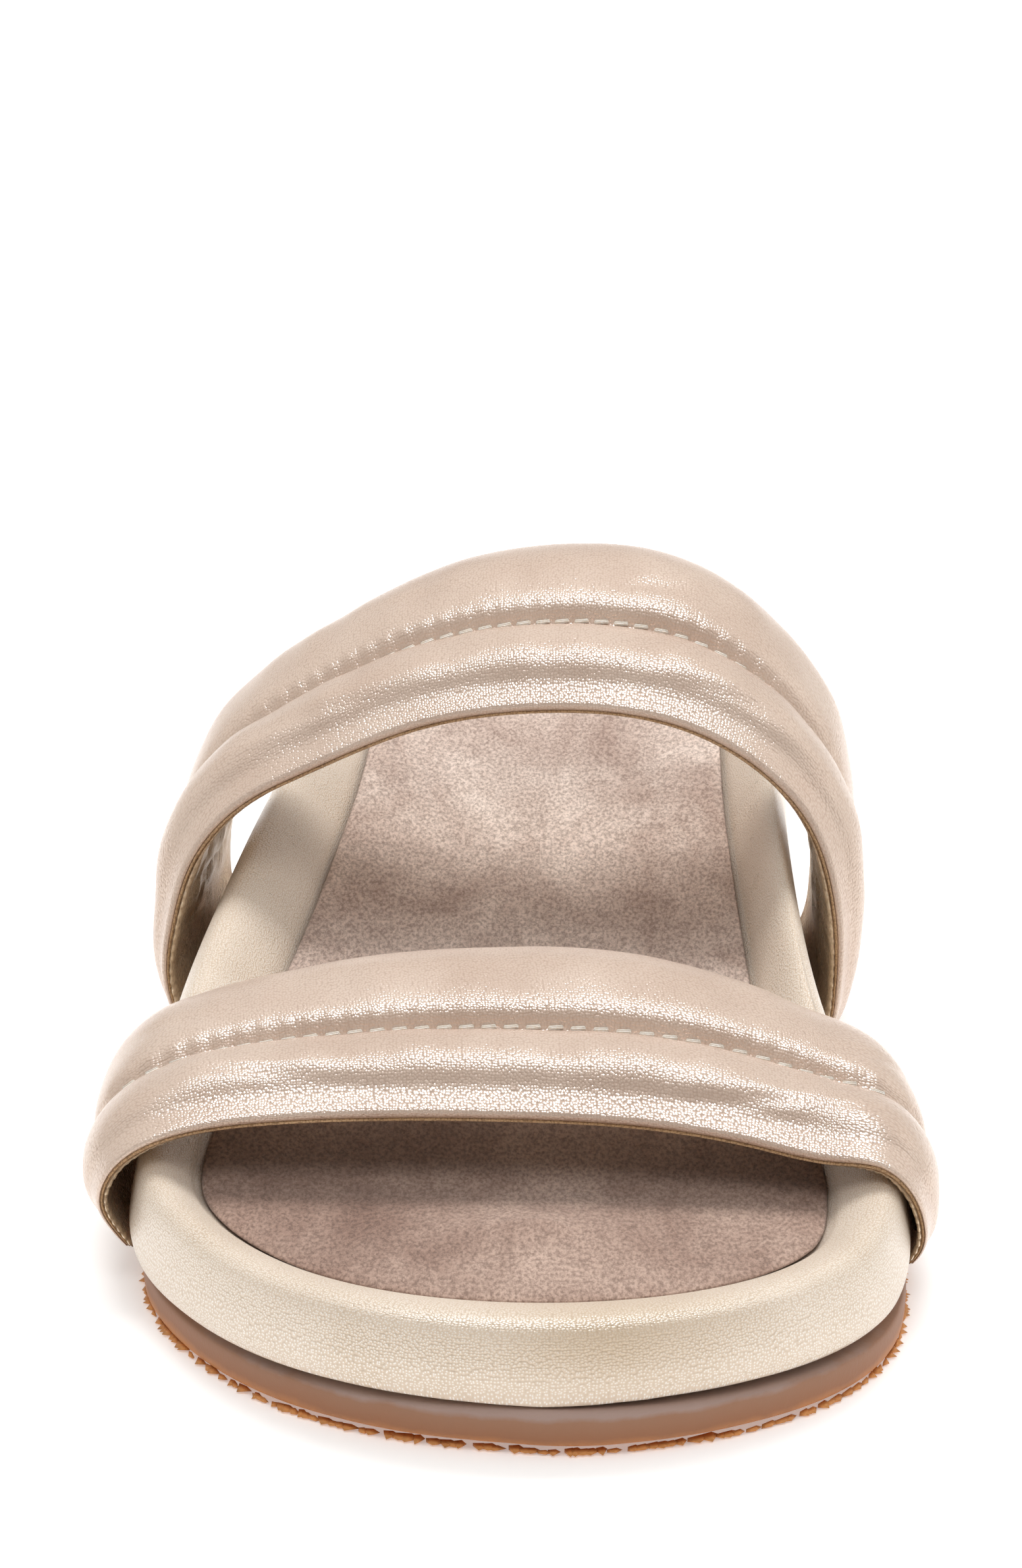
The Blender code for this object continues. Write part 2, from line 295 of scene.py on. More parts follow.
flat_grain = grain_group("flat_grain", flat=True)
hide_grain = grain_group("hide_grain", flat=False)
for group in (flat_grain, hide_grain):
    print(group.name, "has", len(group.nodes), "nodes")

# %% [markdown]
# A finish is one Principled shader. Its numbers that are the same all over stay on the
# shader's own sockets, and nodes drive only colour, roughness and bump. These helpers make
# the shader and its usual companions: a ramp between two tones, a mix, and a bump.


# %% Finish helpers
def new_finish(name, roughness, metallic, **constants):
    """Material with a Principled shader and its plain values."""
    material = bpy.data.materials.new(name)
    material.use_nodes = True
    shader = material.node_tree.nodes["Principled BSDF"]
    shader.inputs["Roughness"].default_value = roughness
    shader.inputs["Metallic"].default_value = metallic
    for socket, value in constants.items():
        shader.inputs[socket.replace("_", " ")].default_value = value
    return material, material.node_tree, shader


def two_tone(tree, factor, low, high, span=(0.30, 0.70)):
    """Colour ramp between two linear colours."""
    ramp = tree.nodes.new("ShaderNodeValToRGB")
    ramp.color_ramp.elements[0].position = span[0]
    ramp.color_ramp.elements[1].position = span[1]
    ramp.color_ramp.elements[0].color = (*low, 1)
    ramp.color_ramp.elements[1].color = (*high, 1)
    tree.links.new(factor, ramp.inputs["Fac"])
    return ramp.outputs["Color"]


def mixed(tree, factor, first, second, blend="MIX"):
    """Mix of two colours by a factor."""
    node = tree.nodes.new("ShaderNodeMix")
    node.data_type = "RGBA"
    node.blend_type = blend
    for socket, value in (("Factor", factor), ("A", first), ("B", second)):
        if isinstance(value, bpy.types.NodeSocket):
            tree.links.new(value, node.inputs[socket])
        else:
            node.inputs[socket].default_value = value
    return node.outputs["Result"]


def rough_between(tree, factor, low, high):
    """Roughness that follows a factor between two values."""
    node = tree.nodes.new("ShaderNodeMapRange")
    tree.links.new(factor, node.inputs["Value"])
    node.inputs["From Min"].default_value = 0.3
    node.inputs["From Max"].default_value = 0.7
    node.inputs["To Min"].default_value = low
    node.inputs["To Max"].default_value = high
    return node.outputs["Result"]


def bump(tree, shader, height, distance, strength):
    """Bump from a height socket into a shader's normal."""
    node = tree.nodes.new("ShaderNodeBump")
    node.inputs["Distance"].default_value = distance
    node.inputs["Strength"].default_value = strength
    tree.links.new(height, node.inputs["Height"])
    tree.links.new(node.outputs["Normal"], shader.inputs["Normal"])


# %% [markdown]
# Four leathers are cut for the sandal. The straps are rose gold and the footbed's wrap is
# champagne: both have a thin metal foil pressed on a pebbled hide, so they are partly metallic
# and fairly glossy. The lining is a smoother gold, and the raw edge is plain tan hide. Fully
# metallic shaders would lose the soft skin tone under the foil.


# %% Leather finishes
def leather(name, grain, colours, pore_tone_and_shade, tip_glints, pebble, depth, rough, metallic, **constants):
    """Pebbled leather: two tones, hollows darkened as grain and painted shade, tops with painted glints,
    round pebbles.
    """
    material, tree, shader = new_finish(name, rough[0], metallic, **constants)
    grained = tree.nodes.new("ShaderNodeGroup")
    grained.node_tree = grain
    grained.inputs["Pebble Size"].default_value = pebble
    tone = two_tone(tree, grained.outputs["Mottle"], *colours)
    # Hollows get the hide's darker tone plus painted shade; pebble tops get painted glints.
    for mark, (colour, share) in (("Pores", pore_tone_and_shade), ("Tips", tip_glints)):
        amount = math_node(tree, "MULTIPLY", grained.outputs[mark], share)
        tone = mixed(tree, amount, tone, (*colour, 1))
    tree.links.new(tone, shader.inputs["Base Color"])
    tree.links.new(rough_between(tree, grained.outputs["Mottle"], *rough), shader.inputs["Roughness"])
    bump(tree, shader, grained.outputs["Height"], depth * MM, 1.0)
    return material


# For each leather: the hollows' row is grain tone plus painted shade, and the tops' row is painted
# glints.
strap_leather = leather(
    "strap_leather",
    flat_grain,
    ((0.65, 0.485, 0.380), (0.73, 0.570, 0.460)),
    ((0.32, 0.21, 0.155), 0.13),
    ((0.90, 0.80, 0.72), 0.20),
    pebble=0.385,
    depth=0.055,
    rough=(0.22, 0.27),
    metallic=0.28,
    Specular_IOR_Level=1.0,
)
wrap_leather = leather(
    "wrap_leather",
    flat_grain,
    ((0.71, 0.575, 0.440), (0.78, 0.650, 0.520)),
    ((0.46, 0.34, 0.24), 0.15),
    ((0.97, 0.95, 0.92), 0.75),
    pebble=0.42,
    depth=0.06,
    rough=(0.26, 0.36),
    metallic=0.12,
    Specular_IOR_Level=0.8,
)
lining_leather = leather(
    "lining_leather",
    hide_grain,
    ((0.66, 0.51, 0.34), (0.80, 0.66, 0.49)),
    ((0.25, 0.16, 0.09), 0.3),
    ((0.80, 0.66, 0.49), 0.0),
    pebble=0.5,
    depth=0.03,
    rough=(0.20, 0.30),
    metallic=0.60,
)
raw_edge = leather(
    "raw_leather_edge",
    hide_grain,
    ((0.42, 0.25, 0.12), (0.58, 0.38, 0.21)),
    ((0.18, 0.09, 0.04), 0.6),
    ((0.58, 0.38, 0.21), 0.0),
    pebble=0.3,
    depth=0.05,
    rough=(0.75, 0.85),
    metallic=0.0,
)

# %% [markdown]
# Suede is brushed leather: no shine, a nap of short fibres, and darker clouds where the nap
# lies the other way. Hair strands could give the nap, but they are lost when the part is kept
# as a mesh, so noise does: fine for the fibres, slow for the clouds. Shade is painted on the
# insole towards the toe and light towards the heel, and Sheen gives the soft bloom of the fibres.

# %% Suede
suede, tree, shader = new_finish(
    "insole_suede", 0.95, 0.0, Specular_IOR_Level=0.15, Sheen_Weight=0.35, Sheen_Roughness=0.5
)
shader.inputs["Sheen Tint"].default_value = (0.95, 0.85, 0.80, 1)
place = tree.nodes.new("ShaderNodeTexCoord")
stretch = tree.nodes.new("ShaderNodeMapping")
stretch.inputs["Scale"].default_value = (1.0, 0.45, 1.0)
link(tree, place.outputs["Object"], stretch.inputs["Vector"])
brushed = add_node(tree, "ShaderNodeTexNoise", Scale=75.0, Detail=8.0, Roughness=0.66, Distortion=0.5)
link(tree, stretch.outputs["Vector"], brushed.inputs["Vector"])
tone = two_tone(tree, brushed.outputs["Fac"], (0.430, 0.310, 0.255), (0.690, 0.560, 0.485), (0.34, 0.66))
rubbed = add_node(tree, "ShaderNodeTexNoise", Scale=28.0, Detail=3.0, Roughness=0.5)
link(tree, place.outputs["Object"], rubbed.inputs["Vector"])
nap = two_tone(tree, rubbed.outputs["Fac"], (0.84, 0.79, 0.77), (1.06, 1.06, 1.06), (0.40, 0.60))
fibres = add_node(tree, "ShaderNodeTexNoise", Scale=2300.0, Detail=4.0, Roughness=0.7)
link(tree, stretch.outputs["Vector"], fibres.inputs["Vector"])
specks = two_tone(tree, fibres.outputs["Fac"], (0.60, 0.56, 0.54), (1.22, 1.22, 1.22), (0.38, 0.60))
tone = mixed(tree, 1.0, tone, nap, "MULTIPLY")
lengthways = tree.nodes.new("ShaderNodeSeparateXYZ")
link(tree, place.outputs["Object"], lengthways.inputs["Vector"])
# Painted shade towards the toe and painted light towards the heel, set by the place along the sole.
to_heel = math_node(tree, "ADD", math_node(tree, "MULTIPLY", lengthways.outputs["Y"], 9.0), 1.05)
painted_toe_shade_heel_light = two_tone(tree, to_heel, (0.64, 0.57, 0.53), (1.06, 1.11, 1.13))
tone = mixed(tree, 1.0, tone, painted_toe_shade_heel_light, "MULTIPLY")
link(tree, mixed(tree, 1.0, tone, specks, "MULTIPLY"), shader.inputs["Base Color"])
bump(tree, shader, fibres.outputs["Fac"], 0.20 * MM, 0.9)
print(suede.name, "has", len(tree.nodes), "nodes")

# %% [markdown]
# The outsole is taupe rubber whose lower edge is rubbed back to orange gum. Two pieces of
# rubber would show a hard line between them, so one material changes with the height over the
# floor, and a slow noise makes the change uneven.

# %% Rubber
RUBBER_HEIGHT = 6.0 * MM
rubber, tree, shader = new_finish("sole_rubber", 0.50, 0.0, Specular_IOR_Level=0.25)
place = tree.nodes.new("ShaderNodeTexCoord")
split = tree.nodes.new("ShaderNodeSeparateXYZ")
link(tree, place.outputs["Object"], split.inputs["Vector"])
height_share = math_node(tree, "DIVIDE", split.outputs["Z"], RUBBER_HEIGHT)
clouds = add_node(tree, "ShaderNodeTexNoise", Scale=160.0, Detail=5.0, Roughness=0.6)
link(tree, place.outputs["Object"], clouds.inputs["Vector"])
drift = math_node(tree, "MULTIPLY", math_node(tree, "SUBTRACT", clouds.outputs["Fac"], 0.5), 0.30)
ramp = tree.nodes.new("ShaderNodeValToRGB")
stops = (
    # share of the height, colour
    (0.00, (0.780, 0.360, 0.120)),
    (0.18, (0.570, 0.240, 0.085)),
    (0.44, (0.320, 0.145, 0.075)),
    (0.80, (0.315, 0.165, 0.100)),
    (0.92, (0.350, 0.245, 0.205)),
)
ramp.color_ramp.elements[0].position = stops[0][0]
ramp.color_ramp.elements[0].color = (*stops[0][1], 1)
ramp.color_ramp.elements[1].position = stops[-1][0]
ramp.color_ramp.elements[1].color = (*stops[-1][1], 1)
for position, colour in stops[1:-1]:
    ramp.color_ramp.elements.new(position).color = (*colour, 1)
link(tree, math_node(tree, "ADD", height_share, drift), ramp.inputs["Fac"])
link(tree, ramp.outputs["Color"], shader.inputs["Base Color"])
scuffs = add_node(tree, "ShaderNodeTexNoise", Scale=1500.0, Detail=3.0, Roughness=0.65)
link(tree, place.outputs["Object"], scuffs.inputs["Vector"])
bump(tree, shader, scuffs.outputs["Fac"], 0.08 * MM, 0.6)
print(rubber.name, "has", len(stops), "tones over", round(RUBBER_HEIGHT / MM, 1), "mm")

# %% [markdown]
# The straps are sewn with a cream thread about 0.6 mm thick. Its twist is too fine to model,
# so a fine noise gives it pale and darker fibres.

# %% Thread
thread, tree, shader = new_finish("cream_thread", 0.6, 0.0)
place = tree.nodes.new("ShaderNodeTexCoord")
twist = add_node(tree, "ShaderNodeTexNoise", Scale=3000.0, Detail=2.0)
link(tree, place.outputs["Object"], twist.inputs["Vector"])
tone = two_tone(tree, twist.outputs["Fac"], (0.86, 0.78, 0.66), (0.97, 0.94, 0.88))
link(tree, tone, shader.inputs["Base Color"])
bump(tree, shader, twist.outputs["Fac"], 0.05 * MM, 0.6)
print(thread.name, "has", len(tree.nodes), "nodes")

# %% [markdown]
# The outsole, the wrapped footbed and the insole have the shape of their solids, but those
# show flat facets. They could be modelled again from nothing, which would risk another shape.
# So a copy of each is merged into one skin and its triangles are joined into quads. The flat
# faces get an inset border, which holds the edge while a Subdivision Surface rounds the rest.


# %% Smooth copies of the sole's solids
BORDER = 1.0 * MM
LEVELS = 2
QUAD_ANGLE = math.radians(70)
FLAT_FROM = 0.97
LARGE_FACE = 20 * MM * MM


def smooth_copy(node, name, finish):
    """Refined copy of a solid that keeps its outline, with a border inset in its flat faces."""
    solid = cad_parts[node]
    piece = bpy.data.objects.new(name, solid.data.copy())
    bpy.context.scene.collection.objects.link(piece)
    only(piece)
    if piece.data.has_custom_normals:
        bpy.ops.mesh.customdata_custom_splitnormals_clear()
    in_edit_mode(
        piece,
        lambda: bpy.ops.mesh.remove_doubles(threshold=1e-6),
        lambda: bpy.ops.mesh.tris_convert_to_quads(
            face_threshold=QUAD_ANGLE, shape_threshold=QUAD_ANGLE
        ),
    )
    for face in piece.data.polygons:
        face.select = abs(face.normal.z) > FLAT_FROM and face.area > LARGE_FACE
    bpy.ops.object.mode_set(mode="EDIT")
    bpy.ops.mesh.inset(thickness=BORDER, use_even_offset=True)
    bpy.ops.object.mode_set(mode="OBJECT")
    apply_modifier(piece, "SUBSURF", levels=LEVELS, render_levels=LEVELS)
    piece.data.materials.clear()
    piece.data.materials.append(finish)
    bpy.ops.object.shade_smooth()
    return piece


outsole = smooth_copy("outsole", "outsole_sheet", rubber)
footbed = smooth_copy("midsole", "footbed_wrap", wrap_leather)
insole = smooth_copy("insole", "insole_suede_sheet", suede)
for piece in (outsole, footbed, insole):
    report(piece)

# %% [markdown]
# A line round the sole is needed twice: to lay the wrap's grain out along it, and to set the
# teeth of the torn rubber. The mesh could be cut by a plane, but the cut's edges then need
# sorting. Rays shot inwards at one height find the line in order, from the heel over the
# big-toe side to the toe and back on the little-toe side.


# %% Line round the sole
AIM_X = 8 * MM
AIM_Y = 85 * MM
FAR_OUT = 0.3


def line_round(piece, height, count):
    """Points, outward directions and running length of a piece's outline at a height."""
    points = []
    for turn in np.linspace(0, 2 * math.pi, count, endpoint=False):
        aim = Vector((math.sin(turn), math.cos(turn), 0))
        target = Vector((AIM_X, AIM_Y * aim.y, height))
        hit, spot, _, _ = piece.ray_cast(target + aim * FAR_OUT, -aim)
        if hit:
            points.append(spot[:2])
    points = np.array(points)
    ahead = np.roll(points, -6, axis=0) - np.roll(points, 6, axis=0)
    ahead /= np.linalg.norm(ahead, axis=1)[:, None]
    steps = np.linalg.norm(np.roll(points, -1, axis=0) - points, axis=1)
    outward = np.stack([-ahead[:, 1], ahead[:, 0]], axis=-1)
    return points, outward, np.concatenate([[0], np.cumsum(steps)])


# %% [markdown]
# The wrap is one hide pulled round the foam, so its grain runs along the sole, up the wall,
# over the rim and down to the suede. A texture through the volume would show its pebbles as
# dents of unlike size. So the wrap is unrolled: one coordinate is the run along the line, and
# the other grows up the wall and goes on growing where the rim falls again past its crest.


# %% Unrolled wrap
RIM_WIDTH = 12 * MM
LINE_POINTS = 1600
CREST_GROUP = 16
LINE_HEIGHT = 12 * MM


def rim_crest(heights, inward, station):
    """Height of the rim's crest and its distance inwards, read at each station of the line."""
    crests = []
    for number in range(LINE_POINTS // CREST_GROUP):
        own = np.flatnonzero((station // CREST_GROUP == number) & (inward < RIM_WIDTH))
        top = own[np.argmax(heights[own])]
        crests.append((heights[top], inward[top]))
    centres = (np.arange(len(crests)) + 0.5) * CREST_GROUP
    columns = np.array(crests).T
    return [np.interp(station, centres, column, period=LINE_POINTS) for column in columns]


def unroll_round(piece):
    """UV map in metres: along the line round the sole, and up the wall and down past the rim."""
    line, outward, run = line_round(piece, LINE_HEIGHT, LINE_POINTS)
    finder = kdtree.KDTree(len(line))
    for number, (x, y) in enumerate(line):
        finder.insert((x, y, 0), number)
    finder.balance()
    points = points_of(piece)
    nearest = np.array([finder.find((x, y, 0))[1] for x, y, _ in points])
    offset = points[:, :2] - line[nearest]
    ahead = np.stack([outward[nearest, 1], -outward[nearest, 0]], axis=-1)
    along = run[nearest] + (offset * ahead).sum(axis=1)
    inward = np.abs((offset * outward[nearest]).sum(axis=1))
    crest_height, crest_inward = rim_crest(points[:, 2], inward, nearest)
    past = np.where(inward > crest_inward, 2 * (crest_height - points[:, 2]), 0)
    over = points[:, 2] + inward + past
    corners = np.empty(len(piece.data.loops), int)
    piece.data.loops.foreach_get("vertex_index", corners)
    along, over = along[corners], over[corners]
    for face in piece.data.polygons:
        span = slice(face.loop_start, face.loop_start + face.loop_total)
        if np.ptp(along[span]) > run[-1] / 2:
            along[span] += np.where(along[span] < run[-1] / 2, run[-1], 0)
    layer = piece.data.uv_layers.new(name="unrolled")
    layer.data.foreach_set("uv", np.stack([along, over], axis=-1).ravel())
    print(f"{piece.name}: grain laid along {run[-1] / MM:.0f} mm")


unroll_round(footbed)

# %% [markdown]
# Teeth of torn rubber and stitches of thread are both one small shape repeated many times.
# An Array modifier gives equal steps and shapes. Here each copy has its own place and size,
# so the model is copied with its own mesh, its points are moved, and the copies are joined.


# %% Joined copies
def joined_copies(model, places, name, finish):
    """One piece made of copies of a model, each with its own places for the model's points."""
    copies = []
    for points in places:
        copy = model.copy()
        copy.data = model.data.copy()
        bpy.context.scene.collection.objects.link(copy)
        move_points(copy, points)
        copies.append(copy)
    bpy.data.objects.remove(model)
    bpy.ops.object.select_all(action="DESELECT")
    for copy in copies:
        copy.select_set(True)
    bpy.context.view_layer.objects.active = copies[0]
    bpy.ops.object.join()
    piece = bpy.context.object
    piece.name = name
    piece.data.materials.append(finish)
    bpy.ops.object.shade_smooth()
    report(piece)
    return piece


# %% [markdown]
# The outsole was cut from a rubber sheet, and its lower edge is torn into small teeth. Moving
# the sheet's own points would need a far finer mesh. One tooth is a flat five-sided cone that
# droops a little towards the floor. It is copied round the edge at uneven steps and sizes,
# with its thick half inside the rubber.


# %% Torn lower edge of the outsole
DROOP = math.radians(9)
WIDEST = 1.5 * MM
EDGE_POINTS = 900
TOOTH_HEIGHT = 0.40 * MM
TOOTH_SEED = 7


def torn_edge(name, piece, finish):
    """Row of small rubber teeth round the lower edge of the outsole."""
    line, outward, run = line_round(piece, WIDEST, EDGE_POINTS)
    chance = np.random.default_rng(TOOTH_SEED)
    bpy.ops.object.select_all(action="DESELECT")
    bpy.ops.mesh.primitive_cone_add(vertices=5, radius1=1, depth=1, rotation=(0, math.pi / 2, 0))
    tooth = bpy.context.object
    bpy.ops.object.transform_apply(location=False, rotation=True, scale=False)
    shape = points_of(tooth)
    places = []
    at = 0.0
    while at < run[-2]:
        number = int(np.searchsorted(run, at))
        out = outward[number]
        reach = chance.uniform(0.4, 1.5) * MM
        wide = chance.uniform(0.7, 1.8) * MM
        thick = chance.uniform(0.35, 0.60) * MM
        sized = shape * (reach, wide, thick)
        aside = sized[:, 0] * math.cos(DROOP) + sized[:, 2] * math.sin(DROOP)
        placed = np.empty_like(sized)
        placed[:, 0] = line[number, 0] + aside * out[0] - sized[:, 1] * out[1]
        placed[:, 1] = line[number, 1] + aside * out[1] + sized[:, 1] * out[0]
        placed[:, 2] = TOOTH_HEIGHT + sized[:, 2] * math.cos(DROOP) - sized[:, 0] * math.sin(DROOP)
        placed[:, 2] = np.maximum(placed[:, 2], 0)
        places.append(placed)
        at += chance.uniform(0.6, 2.6) * MM
    return joined_copies(tooth, places, name, finish)


teeth_row = torn_edge("outsole_torn_edge", outsole, rubber)

# %% [markdown]
# The wrap has two marks: a dark line of glue round the suede, and a golden patch on the toe
# where the foil is rubbed. Extra pieces would stand proud of the hide, so the marks are
# painted as a value per vertex, and the wrap's shader mixes in a colour where it is high.


# %% Marks on the wrap
def paint(piece, name, values):
    """Number per vertex that a shader can read."""
    layer = piece.data.attributes.new(name, "FLOAT", "POINT")
    layer.data.foreach_set("value", np.asarray(values, float))


def stain(material, attribute, colour, share):
    """Mixes a colour over a material's base colour where an attribute is high."""
    tree = material.node_tree
    shader = tree.nodes["Principled BSDF"]
    reader = tree.nodes.new("ShaderNodeAttribute")
    reader.attribute_name = attribute
    amount = math_node(tree, "MULTIPLY", reader.outputs["Fac"], share)
    under = shader.inputs["Base Color"].links[0].from_socket
    link(tree, mixed(tree, amount, under, (*colour, 1)), shader.inputs["Base Color"])


GLUE_FROM = 0.30 * MM
GLUE_FADE = 0.40 * MM
RUBBED_PLACE = (0.012, -0.1275, 0.0150)
RUBBED_SIZE = (0.0150, 0.0100, 0.0050)
suede_points = points_of(insole)
tree_of_suede = kdtree.KDTree(len(suede_points))
for number, point in enumerate(suede_points):
    tree_of_suede.insert(point, number)
tree_of_suede.balance()
wrap_points = points_of(footbed)
from_suede = np.array([tree_of_suede.find(point)[2] for point in wrap_points])
paint(footbed, "glue_line", np.clip(1 - (from_suede - GLUE_FROM) / GLUE_FADE, 0, 1))
spread = np.linalg.norm((wrap_points - RUBBED_PLACE) / RUBBED_SIZE, axis=1)
paint(footbed, "rubbed", np.exp(-(spread**2)))
stain(wrap_leather, "glue_line", (0.17, 0.13, 0.11), 0.60)
stain(wrap_leather, "rubbed", (0.56, 0.41, 0.26), 0.60)
print(f"glue line covers {(from_suede < GLUE_FROM + GLUE_FADE).sum()} vertices of the wrap")

# %% [markdown]
# The straps stand on the edge of the sole, so their places are told from its outline. It is
# kept as shares of the length and the ball width, as in the solids' own source, so that a
# cover made here lies exactly where its solid is.

# %% Outline of the sole
LENGTH = 0.258
BALL_WIDTH = 0.0975
TOE_ROUND = 0.054
HEEL_ROUND = 0.038
OUTLINE = (
    # share of the length, middle and half-width as shares of the ball width
    (0.00, 0.040, 0.530),
    (0.11, 0.033, 0.512),
    (0.18, 0.013, 0.505),
    (0.25, 0.008, 0.500),
    (0.32, -0.008, 0.472),
    (0.38, -0.018, 0.451),
    (0.45, -0.018, 0.431),
    (0.52, -0.009, 0.413),
    (0.61, 0.007, 0.393),
    (0.70, 0.026, 0.373),
    (0.80, 0.044, 0.359),
    (0.90, 0.054, 0.352),
    (1.00, 0.054, 0.352),
)
print("the sole's outline has", len(OUTLINE), "rows of shares")

# %% [markdown]
# Each strap arches over the foot from the little-toe side to the big-toe side. A plain half
# ring would miss how a strap leaves the sole upright, bulges past its edge and lies flat over
# the foot. So rows of shares give the way across, the height, how far it leans back, how much
# its back edge climbs, and how thick its padding is.

# %% Rows of the straps
FOOT_HEIGHT = 0.0053
INSET = 0.0012
SEAT_GAP = 0.0003
TUCK = INSET - SEAT_GAP
FOOT_WIDTH = 0.042
TOP_WIDTH = 0.037
PAD = 0.0065
FRONT = {
    "from_toe": 0.0425,
    "skew": 0.0055,
    "lean": 0.0050,
    "arch": 0.0182,
    "climb": 0.0070,
    "rows": (
        # across, height, lean, climb, pad
        (-1.000, 0.00, 0.95, 0.00, 0.27),
        (-1.030, 0.23, 0.55, 0.02, 0.31),
        (-1.052, 0.41, 0.22, 0.05, 0.38),
        (-1.036, 0.59, 0.09, 0.10, 0.47),
        (-0.994, 0.72, 0.10, 0.15, 0.60),
        (-0.932, 0.81, 0.20, 0.22, 0.72),
        (-0.828, 0.88, 0.40, 0.28, 0.85),
        (-0.660, 0.925, 0.65, 0.43, 0.95),
        (-0.330, 0.956, 0.90, 0.80, 1.00),
        (0.000, 0.956, 1.00, 1.00, 1.00),
        (0.300, 0.930, 0.95, 1.04, 1.00),
        (0.600, 0.835, 0.65, 0.84, 0.98),
        (0.795, 0.765, 0.35, 0.56, 0.88),
        (0.926, 0.74, 0.10, 0.31, 0.67),
        (0.988, 0.57, 0.08, 0.15, 0.50),
        (1.012, 0.36, 0.28, 0.03, 0.37),
        (1.010, 0.17, 0.62, 0.00, 0.30),
        (1.000, 0.00, 0.95, 0.00, 0.26),
    ),
}
REAR = {
    "from_toe": 0.1160,
    "skew": 0.0060,
    "lean": 0.0130,
    "arch": 0.0420,
    "climb": 0.0095,
    "rows": (
        # across, height, lean, climb, pad
        (-1.000, 0.00, 0.00, 0.00, 0.36),
        (-1.035, 0.09, 0.09, 0.05, 0.46),
        (-1.064, 0.20, 0.20, 0.12, 0.58),
        (-1.052, 0.34, 0.34, 0.24, 0.70),
        (-1.008, 0.50, 0.50, 0.38, 0.82),
        (-0.885, 0.66, 0.66, 0.50, 0.92),
        (-0.650, 0.79, 0.79, 0.62, 0.98),
        (-0.300, 0.93, 0.93, 0.84, 1.00),
        (0.150, 1.00, 1.00, 1.00, 1.00),
        (0.560, 0.965, 0.96, 1.00, 1.00),
        (0.850, 0.82, 0.82, 0.85, 0.96),
        (0.990, 0.66, 0.66, 0.70, 0.90),
        (1.048, 0.48, 0.48, 0.50, 0.82),
        (1.062, 0.32, 0.32, 0.30, 0.72),
        (1.052, 0.18, 0.18, 0.16, 0.60),
        (1.030, 0.08, 0.08, 0.06, 0.48),
        (1.000, 0.00, 0.00, 0.00, 0.38),
    ),
}


for name, strap in (("front", FRONT), ("rear", REAR)):
    print(f"{name} strap: {len(strap['rows'])} rows, arch {strap['arch'] / MM:.0f} mm high")

# %% [markdown]
# A smooth curve through the rows reads any place between them. Straight runs would show a
# crease at each row, so the curve is a natural cubic, which bends like a thin steel rule
# pinned at the rows.


# %% Curve through rows
def smooth(knots, rows, places):
    """Natural cubic curve through rows of values, read at the given places."""
    knots, rows = np.array(knots, float), np.array(rows, float)
    steps = np.diff(knots)
    rates = np.diff(rows, axis=0) / steps[:, None]
    system = np.eye(len(knots))
    bends = np.zeros_like(rows)
    for row in range(1, len(knots) - 1):
        before, after = steps[row - 1], steps[row]
        system[row, row - 1 : row + 2] = before, 2 * (before + after), after
        bends[row] = 6 * (rates[row] - rates[row - 1])
    bends = np.linalg.solve(system, bends)
    span = np.clip(np.searchsorted(knots, places) - 1, 0, len(steps) - 1)
    step = steps[span][:, None]
    done = (np.array(places) - knots[span])[:, None] / step
    left = 1 - done
    straight = left * rows[span] + done * rows[span + 1]
    curved = (left**3 - left) * bends[span] + (done**3 - done) * bends[span + 1]
    return straight + curved * step**2 / 6


def sole_sides(from_toe):
    """Middle line and half-width of the sole's widest line."""
    rows = np.array(OUTLINE)
    shares = smooth(rows[:, 0], rows[:, 1:], np.clip(from_toe.ravel() / LENGTH, 0, 1))
    middle, half = (column.reshape(from_toe.shape) * BALL_WIDTH for column in shares.T)
    toe = np.clip(1 - from_toe / TOE_ROUND, 0, 1)
    heel = np.clip(1 - (LENGTH - from_toe) / HEEL_ROUND, 0, 1)
    return middle, half * np.sqrt((1 - toe**2) * (1 - heel**2))


widest = 2 * sole_sides(np.linspace(0, LENGTH, 200))[1].max()
print(f"the sole is {widest / MM:.0f} mm across at its widest")

# %% [markdown]
# Any point of a strap is told by how far along it lies, how far across it, and how far over
# the lining. The lining comes first, because it is the side that fits the foot. What lies
# over it is lifted along the direction that points away from the foot.


# %% Points of a strap
def lining_points(strap, along, across):
    """Points of a strap's lining, with its padding and its seat on the sole's edge."""
    rows = np.array(strap["rows"])
    seats = np.zeros(len(rows))
    seats[[0, -1]] = 1
    shape = rows[:, :2] * (BALL_WIDTH / 2, strap["arch"])
    reach = np.concatenate([[0], np.cumsum(np.linalg.norm(np.diff(shape, axis=0), axis=1))])
    read = smooth(reach, np.column_stack([rows, seats]), along.ravel() * reach[-1])
    side, height, lean, climb, pad, seat = (column.reshape(along.shape) for column in read.T)
    front = strap["from_toe"] + strap["skew"] * (1 - side) / 2 + strap["lean"] * lean
    back = front + (FOOT_WIDTH + (TOP_WIDTH - FOOT_WIDTH) * height) * across
    middle, half = sole_sides(back)
    place_x = middle + side * half - np.sign(side) * seat * TUCK
    place_z = FOOT_HEIGHT + height * strap["arch"] + climb * strap["climb"] * across
    return np.stack([place_x, back - LENGTH / 2, place_z], axis=-1), pad, seat


NUDGE = 1e-3


